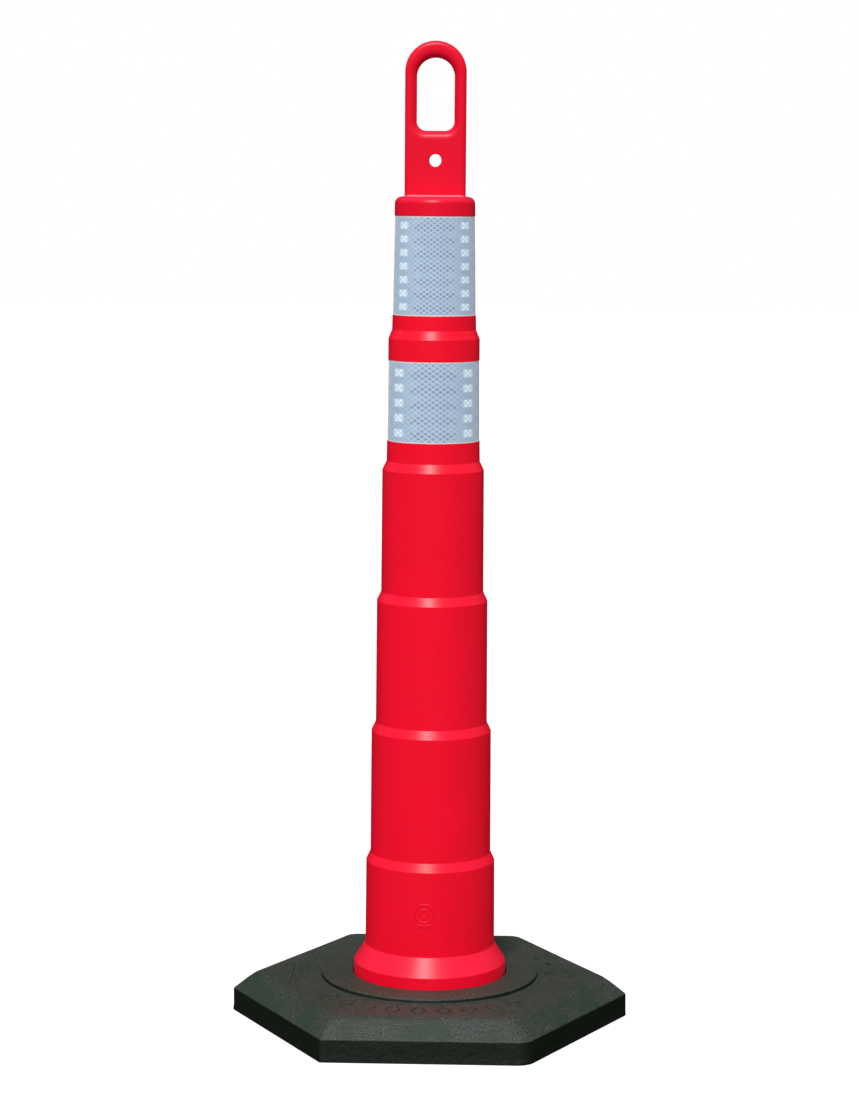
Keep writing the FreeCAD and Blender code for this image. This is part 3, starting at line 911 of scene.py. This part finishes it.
FILL_BELOW, FILL_ABOVE = 0.25, 0.75  # strength of the world's light
RIM_COLOUR = (0.92, 0.95, 1.0)
LENS = 90.58
CAMERA_AT = (0.0873, -3.0492, 0.9059)
CAMERA_YAW, CAMERA_DOWN, CAMERA_ROLL = -1.69, 7.42, 0.41  # degrees


def add_floor():
    """A wide floor that neither shows in reflections nor lights the object."""
    size = 20.0
    mesh = bpy.data.meshes.new("floor")
    corners = [(-size, -size, 0), (size, -size, 0), (size, size, 0), (-size, size, 0)]
    mesh.from_pydata(corners, [], [(0, 1, 2, 3)])
    mesh.materials.append(floor_white())
    floor = bpy.data.objects.new("floor", mesh)
    bpy.context.scene.collection.objects.link(floor)
    floor.visible_glossy = False
    floor.visible_diffuse = False


def add_world():
    """White to the camera, unseen in reflections, and a fill that is stronger from above."""
    world = bpy.data.worlds.new("studio")
    bpy.context.scene.world = world
    world.cycles_visibility.glossy = False
    world.use_nodes = True
    tree = world.node_tree
    tree.nodes.clear()
    path = tree.nodes.new("ShaderNodeLightPath")
    output = tree.nodes.new("ShaderNodeOutputWorld")
    direction = tree.nodes.new("ShaderNodeTexCoord")
    height = tree.nodes.new("ShaderNodeSeparateXYZ")
    tree.links.new(direction.outputs["Generated"], height.inputs[0])
    strength = tree.nodes.new("ShaderNodeMapRange")
    strength.inputs["From Min"].default_value = -0.3
    strength.inputs["From Max"].default_value = 0.8
    strength.inputs["To Min"].default_value = FILL_BELOW
    strength.inputs["To Max"].default_value = FILL_ABOVE
    tree.links.new(height.outputs["Z"], strength.inputs["Value"])
    shades = {}
    for name in ("fill", "seen"):
        shades[name] = tree.nodes.new("ShaderNodeBackground")
        shades[name].inputs["Color"].default_value = (1.0, 1.0, 1.0, 1.0)
    tree.links.new(strength.outputs["Result"], shades["fill"].inputs["Strength"])
    mix = tree.nodes.new("ShaderNodeMixShader")
    tree.links.new(path.outputs["Is Camera Ray"], mix.inputs[0])
    tree.links.new(shades["fill"].outputs[0], mix.inputs[1])
    tree.links.new(shades["seen"].outputs[0], mix.inputs[2])
    tree.links.new(mix.outputs[0], output.inputs["Surface"])


def add_light(name, azimuth, elevation, distance, size, power, colour=(1.0, 1.0, 1.0)):
    """A soft square light. Azimuth 0 is the camera's side, and 90 is to its right."""
    target = Vector((0.0, 0.0, 0.5))
    a, e = math.radians(azimuth), math.radians(elevation)
    back = Vector((math.sin(a) * math.cos(e), -math.cos(a) * math.cos(e), math.sin(e)))
    data = bpy.data.lights.new(name, "AREA")
    data.size = size
    data.energy = power
    data.color = colour
    light = bpy.data.objects.new(name, data)
    bpy.context.scene.collection.objects.link(light)
    light.matrix_world = (-back).to_track_quat("-Z", "Y").to_matrix().to_4x4()
    light.location = target + back * distance
    return light


def add_camera():
    """The photograph's viewpoint, as fitted to the post's height."""
    data = bpy.data.cameras.new("camera")
    data.sensor_width = 36.0
    data.lens = LENS
    data.clip_start = 0.1
    data.clip_end = 50.0
    camera = bpy.data.objects.new("camera", data)
    bpy.context.scene.collection.objects.link(camera)
    yaw, down = math.radians(CAMERA_YAW), math.radians(CAMERA_DOWN)
    level_way = Vector((math.sin(yaw), math.cos(yaw), 0.0))
    forward = level_way * math.cos(down) - Vector((0.0, 0.0, math.sin(down)))
    right = forward.cross(Vector((0, 0, 1))).normalized()
    up = right.cross(forward)
    level = Matrix((right, up, -forward)).transposed()
    rolled = level @ Matrix.Rotation(math.radians(CAMERA_ROLL), 3, "Z")
    camera.matrix_world = Matrix.Translation(CAMERA_AT) @ rolled.to_4x4()
    bpy.context.scene.camera = camera


make_post(red_plastic())
band_material = sheeting()
for band in BAND_SECTION:
    make_band(band, band_material)
make_base(rubber())
add_floor()
add_world()
add_light("key", azimuth=-8.0, elevation=44.0, distance=30.0, size=6.0, power=7500.0)
for side in (-1, 1):
    turn = side * 116.0
    rim = add_light("rim", turn, 25.0, distance=3.0, size=1.2, power=14.0, colour=RIM_COLOUR)
    rim.visible_glossy = False
add_camera()
bpy.context.scene.view_settings.view_transform = "Standard"
